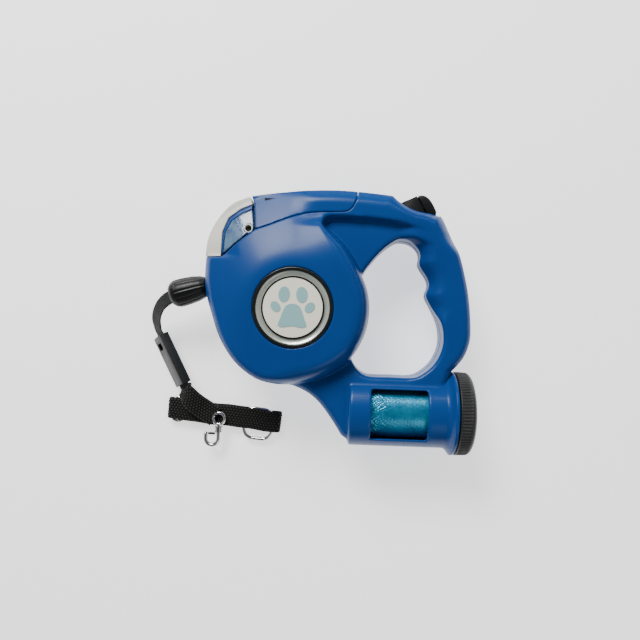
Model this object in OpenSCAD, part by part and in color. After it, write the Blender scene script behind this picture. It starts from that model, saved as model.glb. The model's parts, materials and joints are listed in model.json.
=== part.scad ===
// Retractable tape leash with a torch, a bag dispenser and a collar on its lead.
// The leash lies on its side: +Z goes up through the thickness of the casing.
// The origin is on the reel's axis, in the flat rear face that it lies on.

/* [Casing] */
// Height of the parting plane above the rear face
mid_z = 28; // [28:0.1:28.4]
// Radius of the round reel housing
disc_r = 48.9; // [48.6:0.1:49.2]
// Half thickness of the web, the finger bar and the grip
grip_half = 14; // [13.8:0.1:14.4]
// Half thickness of the arm over the torch batteries
arm_half = 17; // [16.8:0.1:17.4]
// Wall thickness of the mouldings
wall = 2.2; // [2:0.1:2.4]
// Radius of the medallion on the reel housing
medallion_r = 25.5; // [25:0.1:26]

/* [Reel] */
// Radius of the reel's flanges
flange_r = 44.5; // [44.2:0.1:44.6]
// Number of gaps round the ratchet
ratchet_teeth = 30; // [30:30:60]
// Radius of the wound tape at its outermost turn
tape_line_r = 31.83; // [31.83:0.01:31.84]
// Width of the leash tape
tape_w = 11.5; // [11:0.1:11.8]
// Thickness of the leash tape
tape_t = 0.9; // [0.7:0.1:1]

/* [Bag dispenser] */
// Radius of the dispenser tube
tube_r = 23.4; // [23.2:0.1:23.6]
// Radius of the end cap and of the tube's flange
cap_r = 28; // [27.6:0.1:28]
// Radius of the bag roll
roll_r = 17.5; // [15:0.5:18]
// Number of grip ribs round the end cap
cap_ribs = 60; // [36:12:72]

/* [Lead and collar] */
// Width of the collar band and of the lead's webbing
band_w = 15; // [14.5:0.1:15]
// Wire diameter of the collar's D-ring
ring_wire = 2.6; // [2.2:0.1:2.6]

/* [Hidden] */
$fn = 72;

blue = [0.04, 0.34, 0.61];
black = [0.08, 0.08, 0.09];
chrome = [0.8, 0.8, 0.82];

gap = 0.3;             // play between parts of different bodies
fit = 0.05;            // radial play of a running fit
big = 60;              // more than half of the casing's thickness

// ---- curves ----
// A smooth curve through the points p, without its last point.
function spline_point(a, b, c, d, t) =
    (2*b + (c - a)*t + (2*a - 5*b + 4*c - d)*t*t + (3*b - a - 3*c + d)*t*t*t)/2;
function curve(p, steps = 4) = [for (i = [0:len(p) - 2], k = [0:steps - 1])
    spline_point(p[max(i - 1, 0)], p[i], p[i + 1], p[min(i + 2, len(p) - 1)], k/steps)];
function closed_curve(p, steps = 4) = let (m = len(p)) [for (i = [0:m - 1], k = [0:steps - 1])
    spline_point(p[(i + m - 1)%m], p[i], p[(i + 1)%m], p[(i + 2)%m], k/steps)];
// A clockwise outline moved inwards by d.
function inset(p, d) = let (m = len(p)) [for (i = [0:m - 1])
    let (run = p[(i + 1)%m] - p[(i + m - 1)%m], side = run/norm(run)) p[i] + d*[side[1], -side[0]]];
function arc(r, a0, a1, steps, centre = [0, 0]) =
    [for (k = [0:steps]) let (a = a0 + (a1 - a0)*k/steps) centre + r*[cos(a), sin(a)]];

// ---- casing outlines, clockwise, seen from +Z ----
nose = [[-60, 31], [-58.8, 45], [-53, 57.5], [-43.5, 68], [-32, 73]];
arm_top = [[-32, 73], [-7, 76.8], [19, 78.6], [40, 78.2], [61.5, 76.4]];
saddle = [[61.5, 76.4], [66.5, 72.3], [73.5, 68.6], [82, 66.4], [93, 66.5]];
grip_back = [[93, 66.5], [96, 64], [100.5, 55], [106.5, 41.8], [111.6, 25], [114.8, 9],
    [116.4, -8], [116, -18.7], [112, -29.3], [104, -38.8]];
underside = [[33, -82.5], [26.6, -72.8], [18.6, -62.4], [10.4, -55.5], [0, -50.8],
    [-10, -49.3], [-23.2, -45.4], [-36.7, -35.6], [-47.1, -21.1], [-53.6, -5.4], [-57.3, 5],
    [-59.7, 17], [-60, 31]];
body_outline = concat(curve(nose), curve(arm_top), curve(saddle), curve(grip_back),
    [[104, -38.8], [101, -50], [101, -80], [42, -80], [38, -86]], curve(underside));
finger_hole = closed_curve([[38, -29], [38.5, -10], [39.5, 10], [43, 23.5], [54.2, 38.8], [64, 47],
    [69.3, 48.5], [75.1, 47.2], [80.2, 42.5], [81.7, 38.1],
    [81.4, 31.9], [87.1, 23.2], [88.1, 17.9], [86.4, 11.7], [90.4, 3.8], [96.1, -5.8],
    [98.1, -15.4], [97.1, -24.3], [92.6, -33.4], [85.7, -39.8], [78.7, -42.8], [64, -42.9],
    [50.3, -42.9], [43.9, -40.1], [39.4, -34.8]], 3);
// Where the casing is thicker than the plate: the arm, and the shoulder beside the torch.
arm_zone = [[-34, 90], [110, 90], [110, 49], [97.5, 50.2], [84, 53.8], [69, 56.5], [42, 57],
    [19, 57.4], [-16, 53.1], [-29, 55]];
shoulder_zone = [[-70, 12], [-70, 36], [-49, 33.5], [-35.5, 43.5], [-27, 49.5], [-16, 53.4],
    [-3, 58.7], [9.6, 62.2], [19, 60], [30, 41], [0, 20], [-46, -8]];
shoulder_half = arm_half + 1;

// Torch window and the body behind it.
torch_outline = [[-48.3, 33.2], [-48.5, 48], [-45.2, 57.3], [-38, 63.2], [-30, 66.8],
    [-27.7, 50.6], [-35.2, 44.2]];
// Edge of the battery cover on the casing's faces.
cover_seam = [[38.8, 76], [37, 69.5], [34, 65.2], [29.3, 63.6], [9.6, 62.5], [-3.4, 59],
    [-16.3, 53.6], [-26.9, 49.7]];
cover_room = concat([[-31.3, 82], [39, 82]], curve(cover_seam, 3), [[-26.9, 49.7], [-29.2, 67.6],
    [-31.3, 73]]);
// Room for the torch and the battery cover in the casing halves.
front_room = concat([[-66, 31.6], [-66, 82], [39, 82]], curve(cover_seam, 3),
    [[-26.9, 49.7], [-35.1, 43.2], [-48.3, 31.6]]);

// Room for the two thumb buttons.
button_room = [[66.4, 82], [66.4, 70], [69.4, 65.2], [79, 61], [88, 59], [93.6, 62], [94.2, 69], [94, 82]];

// ---- places ----
cavity_half = 23;      // half height of the reel chamber
cavity_r = 46.6;
recess = 3;            // depth of the medallion's recess
boss_face = 10.5;      // half distance between the axle bosses
axle_r = 3;
// Casing screws: x, y, height of the boss above the parting plane
screws = [[-54.3, 25.4, 16.5], [25.5, -53.5, 13], [55, 68, 16], [92.5, 54, 13], [107, -8, 13],
    [98.5, -35.5, 13]];
head_depth = 8;        // depth of the screw seats in the rear half
tube_y = -66.8;
tube_x0 = 37.5;
tube_x1 = 107.7;
bore_r = 20.9;
cap_x0 = 108.3;
window = [[52, 88.5], [-16, 16]];   // along the tube, across it
torch_axis = [-33, 49.4];           // base of the reflector
torch_turn = 150;
torch_screw_at = [-32.1, 50.9];
switch_x = -25.2;
cell_y = 66.4;
pull_turn = 197.5;     // direction in which the tape leaves
run_end = 53.2;        // tape length from the coil to the stopper
pawl_tip = [32.6, 31.4];
pawl_turn = 38.83;

module placed() { translate([0, 0, mid_z]) children(); }
module prism(outline, z0, z1) { translate([0, 0, z0]) linear_extrude(z1 - z0) polygon(outline); }
// Local X along the tape where it leaves the coil, from its last contact.
module in_line() { placed() rotate([0, 0, pull_turn]) translate([0, -tape_line_r, 0]) children(); }
// Revolves a profile of (radius, x) points about the dispenser tube's axis.
module on_tube(profile) {
    placed() translate([0, tube_y, 0]) rotate([0, 90, 0]) rotate_extrude() polygon(profile);
}
module ring(r_out, r_in, z0, z1) {
    translate([0, 0, z0]) difference() {
        cylinder(r = r_out, h = z1 - z0);
        translate([0, 0, -1]) cylinder(r = r_in, h = z1 - z0 + 2);
    }
}
module rod_x(r, x0, x1) { translate([x0, 0, 0]) rotate([0, 90, 0]) cylinder(r = r, h = x1 - x0); }

// ---- casing ----
module disc_dome(r, top, round) {
    rotate_extrude() polygon(concat([[0, -1], [r, -1]],
        [for (k = [0:6]) let (a = 15*k) [r - round + round*cos(a), top - round*0.9 + round*0.9*sin(a)]],
        [[0, top]]));
}
module outer_plates() {
    difference() {
        prism(body_outline, -1, grip_half);
        prism(finger_hole, -2, big);
    }
    intersection() {
        prism(body_outline, grip_half, shoulder_half);
        union() {
            prism(arm_zone, grip_half, arm_half);
            prism(shoulder_zone, grip_half, shoulder_half);
        }
    }
    disc_dome(disc_r, mid_z, 13);
}
module inner_plates() {
    difference() {
        prism(inset(body_outline, wall), -2, grip_half - wall);
        prism(inset(finger_hole, -wall), -3, big);
    }
    intersection() {
        prism(inset(body_outline, wall), grip_half - wall - 1, shoulder_half);
        union() {
            prism(inset(arm_zone, wall), 0, arm_half - wall);
            prism(inset(shoulder_zone, wall), 0, shoulder_half - wall);
        }
    }
    translate([0, 0, -2]) cylinder(r = cavity_r, h = cavity_half + 2 - 6);
    translate([0, 0, -2]) cylinder(r = cavity_r - 6, h = cavity_half + 2);
}
module tube_outside() {
    translate([0, tube_y, 0]) rotate([0, 90, 0]) rotate_extrude() polygon([[0, tube_x0],
        [tube_r - 2, tube_x0], [tube_r - 0.3, tube_x0 + 2], [tube_r, 101.5], [cap_r - 0.4, 105.5],
        [cap_r, 106.3], [cap_r, tube_x1], [0, tube_x1]]);
}
module half_shell(boss_r) {
    difference() {
        union() {
            difference() {
                outer_plates();
                inner_plates();
            }
            tube_outside();
            for (s = screws) translate([s[0], s[1], 0]) cylinder(r = boss_r, h = s[2]);
            translate([0, 0, boss_face]) cylinder(r = 6, h = cavity_half - boss_face + 1);
            translate([80, 48.6, 0]) cube([7.5, 7.2, grip_half - 1]);   // seat of the brake spring
        }
        translate([0, 0, -big]) cylinder(r = 300, h = big);
        translate([0, tube_y, 0]) rod_x(bore_r, tube_x0 + 3, 120);
        prism(front_room, -1, big);
        translate([0, 0, mid_z - recess]) cylinder(r = medallion_r + 0.1, h = 10);
        translate([0, 0, boss_face - 1]) cylinder(r = axle_r + 0.02, h = 13.4);
        prism(button_room, -1, 7.6);
        rotate([0, 0, pull_turn]) translate([46.5, -tape_line_r - 3.4, -1]) cube([12, 6.8, 10.3]);
    }
}
module front_casing() {
    color(blue) placed() difference() {
        half_shell(3.5);
        for (s = screws) translate([s[0], s[1], -1]) cylinder(r = 1.25, h = 11);
        translate([window[0][0], tube_y + window[1][0], 10])
            cube([window[0][1] - window[0][0], window[1][1] - window[1][0], 20]);
    }
}
module rear_casing() {
    color(blue) placed() mirror([0, 0, 1]) difference() {
        half_shell(4.4);
        for (s = screws) translate([s[0], s[1], 0]) {
            translate([0, 0, -1]) cylinder(r = 1.7, h = 20);
            translate([0, 0, head_depth]) cylinder(r = 3.1, h = 20);
        }
    }
}
module casing_screws() {
    color("silver") placed() for (s = screws) translate([s[0], s[1], 0]) {
        translate([0, 0, -head_depth - 1]) cylinder(r = 1.2, h = head_depth + 10.5);
        difference() {
            translate([0, 0, -head_depth - 1.8]) cylinder(r = 2.8, h = 1.75);
            translate([-2, -0.4, -head_depth - 3]) cube([4, 0.8, 2]);
            translate([-0.4, -2, -head_depth - 3]) cube([0.8, 4, 2]);
        }
    }
}
module axle_pin() {
    color("silver") placed() translate([0, 0, -22.8]) cylinder(r = axle_r, h = 45.6);
}
module tape_guide() {
    color(black) in_line() difference() {
        translate([47, -3.3, -9.2]) cube([5.7, 6.6, 18.4]);
        translate([46, -1.2, -6.6]) cube([8, 2.4, 13.2]);
    }
}

// ---- medallions ----
module medallion_ring() {
    color(black) placed() ring(medallion_r, medallion_r - 2.1, mid_z - recess, mid_z + 0.5);
}
module medallion_cup() {
    cup_out = medallion_r - 2.2;
    color([0.86, 0.87, 0.8]) placed() rotate_extrude() polygon([[19.9, mid_z - recess],
        [cup_out, mid_z - recess], [cup_out, mid_z - 0.4], [cup_out - 0.8, mid_z - 0.8], [20.6, mid_z - 1.6],
        [19.9, mid_z - 1.4]]);
}
module medallion_line() {
    color(black) placed() ring(19.8, 18.9, mid_z - recess, mid_z - 0.8);
}
module medallion_disc() {
    color([0.95, 0.94, 0.87]) placed() translate([0, 0, mid_z - recess]) cylinder(r = 18.8, h = 2);
}
function ellipse(rx, ry, turn, at) = [for (k = [0:23]) let (a = 15*k, x = rx*cos(a), y = ry*sin(a))
    at + [x*cos(turn) - y*sin(turn), x*sin(turn) + y*cos(turn)]];
module paw_inlay() {
    pad = closed_curve([[0, 2.4], [4.6, 0.6], [7.4, -6.5], [9, -11.2], [6, -12.6], [0, -11.6],
        [-6, -12.6], [-9, -11.2], [-7.4, -6.5], [-4.6, 0.6]], 3);
    color([0.73, 0.82, 0.79]) placed() {
        prism(pad, mid_z - 1, mid_z - 0.7);
        for (side = [-1, 1]) {
            prism(ellipse(3.6, 5, 6*side, [5.6*side, 8.2]), mid_z - 1, mid_z - 0.7);
            prism(ellipse(2.8, 3.7, -42*side, [10.8*side, 0.3]), mid_z - 1, mid_z - 0.7);
        }
    }
}
module rear_badge_ring() {
    color(black) placed() ring(medallion_r, medallion_r - 2.1, -mid_z, -mid_z + recess);
}
module rear_badge() {
    color([0.86, 0.87, 0.8]) cylinder(r = medallion_r - 2.2, h = recess);
}

// ---- torch ----
module along_torch() {
    placed() translate(torch_axis) rotate([0, 0, torch_turn]) rotate([0, 90, 0]) children();
}
module torch_housing() {
    color(blue) difference() {
        placed() prism(torch_outline, -11.6, 11.6);
        along_torch() translate([0, 0, -0.2]) cylinder(r = 10.6, h = 30);
        placed() translate([torch_screw_at[0], torch_screw_at[1], 6]) cylinder(r = 1.25, h = 10);
    }
}
module torch_diffuser() {
    color([0.88, 0.88, 0.84]) placed() prism(concat(curve([[-60.05, 31.9], [-58.8, 45], [-53, 57.5],
        [-43.5, 68], [-32.2, 72.9]]), [[-32.2, 72.9], [-30.1, 67.3], [-38, 63.8], [-45.6, 57.9],
        [-49, 48.2], [-48.8, 31.9]]), -grip_half, grip_half);
}
module torch_window() {
    difference() {
        prism(inset(torch_outline, -0.1), 11.8, grip_half);
        translate([torch_screw_at[0], torch_screw_at[1], 10]) cylinder(r = 1.7, h = 10);
    }
}
module torch_window_front() { color([0.8, 0.9, 0.95], 0.4) placed() torch_window(); }
module torch_window_rear() { color([0.8, 0.9, 0.95], 0.4) placed() mirror([0, 0, 1]) torch_window(); }
module torch_reflector() {
    color(chrome) along_torch() rotate_extrude() polygon(concat(
        [for (k = [0:6]) let (z = 1.7*k) [3.6 + 1.65*sqrt(z), z]],
        [for (k = [6:-1:0]) let (z = 1.7*k) [4.3 + 1.65*sqrt(z), z]]));
}
module torch_leds() {
    color("white") along_torch() for (k = [0:2]) rotate([0, 0, 120*k + 30]) translate([1.75, 0, 0.4]) {
        cylinder(r = 1.3, h = 2.6, $fn = 32);
        translate([0, 0, 2.6]) sphere(r = 1.25, $fn = 32);
    }
}
module torch_board() {
    color("darkgreen") placed() translate([-26.8, 52, -10]) cube([1.6, 16, 20]);
}
module torch_screw() {
    color([0.2, 0.2, 0.22]) placed() translate([torch_screw_at[0], torch_screw_at[1], 0]) {
        translate([0, 0, 7]) cylinder(r = 1.2, h = 7.2);
        difference() {
            translate([0, 0, grip_half + 0.05]) cylinder(r = 2.6, h = 1.5);
            translate([-1.8, -0.35, grip_half + 0.8]) cube([3.6, 0.7, 2]);
            translate([-0.35, -1.8, grip_half + 0.8]) cube([0.7, 3.6, 2]);
        }
    }
}
module torch_switch() {
    color(black) placed() translate([switch_x, 69.2, 0]) rotate([-90, 0, 0]) cylinder(r = 2.2, h = 6);
}
module battery_tray() {
    color(black) placed() difference() {
        translate([-22.2, 59.6, -13]) cube([59.2, 12, 26]);
        translate([-20.8, 61, -11.6]) cube([56.4, 20, 23.2]);
    }
}
module batteries() {
    color([0.75, 0.6, 0.25]) placed() for (z = [-5.6, 5.6]) translate([0, cell_y, z]) {
        rod_x(5.2, -14.5, 29.2);
        rod_x(1.8, 29.2, 30.1);
    }
}
module battery_contacts() {
    color("silver") placed() {
        translate([34.8, 61.4, -11]) cube([0.5, 9.8, 22]);
        translate([-20.5, 61.4, -11]) cube([0.5, 9.8, 22]);
        for (z = [-5.6, 5.6]) translate([0, cell_y, z]) {
            rod_x(2.4, -20.1, -14.7);
            rod_x(2.4, 30.3, 34.9);
        }
    }
}
module battery_cover() {
    color(blue) placed() difference() {
        intersection() {
            prism(body_outline, -arm_half, arm_half);
            prism(inset(cover_room, gap), -big, big);
        }
        prism(inset(body_outline, wall), -arm_half + wall, arm_half - wall);
        translate([switch_x, 60, 0]) rotate([-90, 0, 0]) cylinder(r = 2.7, h = 30);
    }
}

// ---- reel ----
module reel_hub() {
    color("white") placed() difference() {
        union() {
            translate([0, 0, -7.35]) cylinder(r = 12.2, h = 14.7);
            translate([0, 0, -9.4]) cylinder(r = 7.9, h = 19.6);
        }
        translate([0, 0, -12]) cylinder(r = 5.02, h = 30);
    }
}
module reel_bush() { color("goldenrod") placed() ring(5, axle_r + fit, -9.4, 10.2); }
module ratchet_flange() {
    root_r = flange_r - 3;
    pitch = 360/ratchet_teeth;
    gap_turn = 44.1;   // one gap faces the pawl
    color("white") placed() difference() {
        prism([for (k = [0:ratchet_teeth - 1], e = [[root_r, 0.27], [flange_r, 0.32], [flange_r, 0.68],
            [root_r, 0.73]]) let (a = gap_turn + pitch*(k + e[1])) e[0]*[cos(a), sin(a)]], 7.4, 10.2);
        cylinder(r = 8, h = 20);
    }
}
module rear_flange() { color("white") placed() ring(flange_r, 8, -9.4, -7.4); }
module wound_tape() {
    color(black) placed() ring(tape_line_r - tape_t/2 - 0.3, 12.3, -tape_w/2, tape_w/2);
}
module spring_barrel() {
    color("white") placed() {
        ring(34, 32.6, -21.8, -9.5);
        ring(33, 6.5, -11, -9.5);
    }
}
module spring_lid() { color("silver") placed() ring(34, 6.5, -22.5, -21.9); }
module mainspring() {
    turns = 7;
    steps = 22*turns;
    strip = 0.7;
    spiral = [for (k = [0:steps]) let (a = 360*turns*k/steps, r = 7.4 + 24.2*k/steps)
        [r*cos(a), r*sin(a)]];
    outside = [for (k = [0:steps]) let (p = spiral[k]) p*(1 + strip/norm(p))];
    color("steelblue") placed() prism(concat(spiral, [for (k = [steps:-1:0]) outside[k]]), -21.4, -11.4);
}

// ---- brake ----
module brake_button() {
    color(black) placed() {
        prism([[66.9, 72.5], [70.6, 74.4], [74.7, 76.2], [78, 78], [79.7, 74.2], [84.2, 66.9],
            [85.7, 64.4], [80, 62.2], [73, 63.5], [70.8, 66.5], [67.5, 70.2]], -7.2, 7.2);
        prism([[70.5, 66.7], [78.5, 64], [78.5, 62.5], [70.5, 65.27]], 4.5, 10.2);
    }
}
module lock_button() {
    color(black) placed() prism(concat([[80.2, 74.4]],
        curve([[78.5, 78.2], [81.2, 78.8], [84, 78.3], [87.2, 75.8], [89.7, 72], [91.6, 68.2]], 3),
        [[91.6, 68.2], [91.4, 64.8], [86.4, 64.2], [84.8, 66.9]]), -7.2, 7.2);
}
// A point of the pawl, from its distance behind the tip and its offset to the side.
function on_pawl(back, side) = pawl_tip + back*[cos(pawl_turn), sin(pawl_turn)]
    + side*[-sin(pawl_turn), cos(pawl_turn)];
module brake_pawl() {
    color("white") placed() prism([on_pawl(0, -1.3), on_pawl(6, -1.3), on_pawl(7.5, -2.8),
        on_pawl(44, -2.8), [77, 57.5], [79.5, 60], [79.5, 61.77], [69, 65.4], [66, 63],
        on_pawl(42, 2.8), on_pawl(7.5, 2.8), on_pawl(6, 1.3), on_pawl(0, 1.3)], 7.4, 10.2);
}
module brake_spring() {
    turn_gap = 1.2;
    color("silver") placed() translate([82.9, 62.6, 0]) rotate([0, 0, -58.5]) rotate([0, 90, 0])
        for (k = [0:4]) translate([0, 0, 0.6 + turn_gap*k])
            rotate_extrude($fn = 32) translate([2.2, 0]) circle(r = 0.45, $fn = 16);
}

// ---- bag dispenser ----
module roll_peg() {
    color(black) on_tube([[0, 40.6], [8, 40.6], [8, 42], [4.95, 42], [4.95, 74], [4, 75.5], [0, 75.5]]);
}
module roll_core() { color("tan") on_tube([[5.03, 43], [7.5, 43], [7.5, 99], [5.03, 99]]); }
module bag_film() {
    color([0.2, 0.72, 0.8]) on_tube([[7.6, 44.5], [roll_r - 0.6, 44.5], [roll_r, 45.2],
        [roll_r, 96.6], [roll_r - 0.6, 97.3], [7.6, 97.3]]);
}
module cap_plug() {
    color(black) on_tube([[0, 92], [4, 92], [4.93, 93.5], [4.93, 108.6], [18.6, 108.6], [18.6, 98.5],
        [bore_r - gap, 98.5], [bore_r - gap, 108.6], [24.8, 108.6], [24.8, 110.4], [3, 110.4],
        [3, 115.6], [0, 115.6]]);
}
module bag_cap() {
    rim_r = cap_r - 2.6;
    color([0.2, 0.2, 0.2]) {
        on_tube([[rim_r, cap_x0], [cap_r - 0.9, cap_x0], [cap_r - 0.9, 113], [cap_r - 2.2, 115.6],
            [cap_r - 5, 118], [19, 119.9], [10, 120.8], [0, 121], [0, 118.4], [3 + fit, 118.4],
            [3 + fit, 111.4], [6, 111.4], [6, 118.2], [17, 117.4], [22.4, 115.2], [rim_r, 112.4]]);
        placed() translate([cap_x0, tube_y, 0]) rotate([0, 90, 0]) difference() {
            linear_extrude(4.6) polygon([for (k = [0:cap_ribs - 1], e = [[cap_r - 0.8, 0.05],
                [cap_r, 0.25], [cap_r, 0.55], [cap_r - 0.8, 0.75]])
                let (a = 360/cap_ribs*(k + e[1])) e[0]*[cos(a), sin(a)]]);
            translate([0, 0, -1]) cylinder(r = rim_r + 0.5, h = 10);
        }
    }
}

// ---- lead ----
// Route of the tape from the casing to the joiner: x, y, z and the roll of its width.
lead_route = [[-60.4, 14.33, 28, 90], [-66, 12.6, 28, 96], [-72, 10.7, 27.8, 112], [-78, 8.8, 27.3, 132],
    [-84, 6.7, 26.2, 148], [-89.4, 4.1, 24.6, 152], [-93.9, 0.7, 22.3, 150], [-97.3, -3.7, 19.4, 148],
    [-99.6, -8.6, 15.9, 146], [-100.5, -13.4, 12.4, 142], [-100.4, -17.4, 9.2, 134],
    [-99.1, -21.3, 7.7, 129], [-97.25, -25.2, 7.55, 129], [-95.1, -29.5, 7.6, 129],
    [-92.9, -33.8, 7.6, 129], [-91.4, -36.7, 7.6, 129]];
// Route of the lead's webbing from the joiner to the hook's eye.
webbing_route = [[-80.61, -57.48, 7.75, 130.3], [-79.88, -58.94, 8.28, 137], [-79.28, -60.56, 10.2, 148],
    [-77.18, -62.93, 11.53, 161], [-74.3, -66.18, 11.66, 171.7], [-70.6, -69.6, 10.6, 178],
    [-66.2, -72.9, 9.15, 180], [-61.4, -76, 8.7, 180], [-57.6, -78.3, 8.59, 180]];
// A flat strap swept along a route with an eight-sided section.
module strap(route, w, t) {
    path = concat(curve(route, 2), [route[len(route) - 1]]);
    n = len(path);
    half = [[w/2, t/5], [w/2 - t/3, t/2], [t/3 - w/2, t/2], [-w/2, t/5]];
    section = concat(half, [for (p = half) -p]);
    points = [for (i = [0:n - 1]) let (
        a = path[max(i - 1, 0)],
        b = path[min(i + 1, n - 1)],
        run = [b[0] - a[0], b[1] - a[1], b[2] - a[2]],
        ahead = run/norm(run),
        flat = cross(ahead, [0, 0, 1]),
        side = flat/norm(flat),
        up = cross(side, ahead),
        roll = path[i][3],
        across = cos(roll)*side + sin(roll)*up,
        thick = cos(roll)*up - sin(roll)*side)
        for (s = section) [path[i][0], path[i][1], path[i][2]] + s[0]*across + s[1]*thick];
    faces = concat([[for (k = [7:-1:0]) k]],
        [for (i = [0:n - 2], k = [0:7]) [8*i + k, 8*i + (k + 1)%8, 8*i + 8 + k]],
        [for (i = [0:n - 2], k = [0:7]) [8*i + (k + 1)%8, 8*i + 8 + (k + 1)%8, 8*i + 8 + k]],
        [[for (k = [0:7]) 8*(n - 1) + k]]);
    polyhedron(points, faces, convexity = 6);
}
module tape_run() {
    color(black) in_line() translate([0.5, -tape_t/2, -tape_w/2]) cube([run_end - 0.5, tape_t, tape_w]);
}
module lead_tape() { color(black) strap(lead_route, tape_w, 1.1); }
module tape_stopper() {
    color(black) in_line() translate([run_end + 0.1, 0, 0]) rotate([0, 90, 0]) {
        cylinder(r1 = 5.2, r2 = 9.5, h = 18);
        translate([0, 0, 18]) cylinder(r = 9.5, h = 4.5);
        translate([0, 0, 22.5]) cylinder(r1 = 9.5, r2 = 6.6, h = 3.6);
    }
}
// Local X along the joiner from its upper end, local Y across its face, rolled on its edge.
module on_joiner() { translate([-99.2, -21.5, 7.6]) rotate([0, 0, -62.7]) rotate([51, 0, 0]) children(); }
module joiner_box() {
    color([0.22, 0.23, 0.23]) on_joiner() difference() {
        translate([0, -7.1, -3.3]) cube([38.6, 14.2, 6.6]);
        translate([-1, -6.1, -2.1]) cube([41, 12.2, 4.2]);
        translate([5.2, -4.6, 0]) cube([5, 6.4, 5]);
    }
}
module joiner_tongue() {
    color(black) on_joiner() difference() {
        translate([17.3, -5.8, -1.6]) cube([21.4, 11.6, 3.2]);
        translate([22, -3.4, -3]) cube([3, 6.8, 6]);
    }
}
module lead_webbing() { color(black) strap(webbing_route, band_w, 3); }

// ---- collar ----
band_at = [-52.1, -77.6, 0];
band_turn = -5.5;
band_l = 83;
band_h = 6.6;
layer = 1.6;
ring_z = band_h/2;
module on_band() { translate(band_at) rotate([0, 0, band_turn]) children(); }
function stadium(l, h) = concat(arc(h/2, 90, -90, 8, [l/2 - h/2, 0]), arc(h/2, 270, 90, 8, [h/2 - l/2, 0]));
module collar_band() {
    color(black) on_band() translate([0, band_w/2, ring_z]) rotate([90, 0, 0]) linear_extrude(band_w)
        difference() {
            polygon(stadium(band_l, band_h));
            polygon(stadium(band_l - 2*layer, band_h - 2*layer));
        }
}
// A closed wire loop with round corners, lying flat.
module wire_loop(w, h, corner, wire) {
    for (a = [0, 180]) rotate([0, 0, a]) {
        translate([0, h/2, 0]) rod_x(wire/2, corner - w/2, w/2 - corner);
        rotate([0, 0, 90]) translate([0, w/2, 0]) rod_x(wire/2, corner - h/2, h/2 - corner);
        for (s = [0, 90]) translate(s == 0 ? [w/2 - corner, h/2 - corner, 0] : [corner - w/2, h/2 - corner, 0])
            rotate([0, 0, s]) rotate_extrude(angle = 90) translate([corner, 0]) circle(r = wire/2, $fn = 24);
    }
}
module d_ring() {
    color(chrome) on_band() translate([25, -3.2, ring_z]) wire_loop(20.4, 21.8, 7, ring_wire);
}
module oval_ring() {
    color(chrome) on_band() translate([-33.6, -0.2, ring_z]) wire_loop(9, 17.2, 4, 2);
}

// ---- snap hook ----
hook_at = [-55, -79.5, 8.8];
module hook_eye() {
    color(chrome) translate(hook_at) {
        rotate_extrude() translate([4, 0]) circle(r = 1.1, $fn = 24);
        translate([0, -3.6, 0]) rotate([90, 0, 0]) cylinder(r = 1.5, h = 4.6);
    }
}
module hook_body() {
    bend_r = 4.5;
    color(chrome) translate(hook_at) {
        difference() {
            translate([0, -5.9, 0]) rotate([90, 0, 0]) cylinder(r = 2.8, h = 3.6);
            rotate([90, 0, 0]) cylinder(r = 1.5 + fit, h = 8.6);
        }
        translate([0, -9.2, 0]) rotate([90, 0, 0]) cylinder(r = 1.5, h = 5.3);
        translate([-bend_r, -14.5, 0]) rotate([0, 0, 180]) rotate_extrude(angle = 180)
            translate([bend_r, 0]) circle(r = 1.5, $fn = 32);
        translate([-2*bend_r, -14.5, 0]) rotate([-90, 0, 0]) cylinder(r = 1.5, h = 3.4);
        translate([-2*bend_r, -11.1, 0]) sphere(r = 1.5);
    }
}
gate_pivot = [-57.7, -90.1, 8.8];
module hook_gate() {
    color(chrome) translate(gate_pivot) {
        translate([0, 0, -1.2]) cylinder(r = 0.8, h = 2.4);
        translate([-4.4, -0.8, -1.2]) cube([4.4, 1.6, 2.4]);
    }
}

front_casing();
rear_casing();
casing_screws();
axle_pin();
tape_guide();
medallion_ring();
medallion_cup();
medallion_line();
medallion_disc();
paw_inlay();
rear_badge_ring();
rear_badge();
torch_housing();
torch_diffuser();
torch_window_front();
torch_window_rear();
torch_reflector();
torch_leds();
torch_board();
torch_screw();
torch_switch();
battery_tray();
batteries();
battery_contacts();
battery_cover();
reel_hub();
reel_bush();
ratchet_flange();
rear_flange();
wound_tape();
spring_barrel();
spring_lid();
mainspring();
brake_button();
lock_button();
brake_pawl();
brake_spring();
roll_peg();
roll_core();
bag_film();
cap_plug();
bag_cap();
tape_run();
lead_tape();
tape_stopper();
joiner_box();
joiner_tongue();
lead_webbing();
collar_band();
d_ring();
oval_ring();
hook_eye();
hook_body();
hook_gate();
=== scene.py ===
import json
import math

import bpy
import numpy as np
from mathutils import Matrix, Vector


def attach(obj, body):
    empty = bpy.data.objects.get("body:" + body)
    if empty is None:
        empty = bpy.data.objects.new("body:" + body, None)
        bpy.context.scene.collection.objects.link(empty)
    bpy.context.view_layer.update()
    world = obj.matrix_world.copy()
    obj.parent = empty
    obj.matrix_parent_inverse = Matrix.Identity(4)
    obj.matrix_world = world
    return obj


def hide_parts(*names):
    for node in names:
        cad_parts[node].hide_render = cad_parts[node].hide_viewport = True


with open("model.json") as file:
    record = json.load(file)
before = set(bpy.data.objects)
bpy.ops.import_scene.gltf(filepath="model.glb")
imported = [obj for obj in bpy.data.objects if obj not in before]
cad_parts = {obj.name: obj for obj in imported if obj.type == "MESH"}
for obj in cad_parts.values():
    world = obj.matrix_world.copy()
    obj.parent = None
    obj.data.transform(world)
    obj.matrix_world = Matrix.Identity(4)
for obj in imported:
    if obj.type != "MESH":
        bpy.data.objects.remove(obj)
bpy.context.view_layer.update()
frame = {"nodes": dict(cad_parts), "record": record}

MM = 0.001
MID = 28.0          # height of the parting plane above the floor, mm
TUBE_Y = -66.8       # the bag tube's axis
PHOTO_PX = 640       # the photograph's width and height

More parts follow.
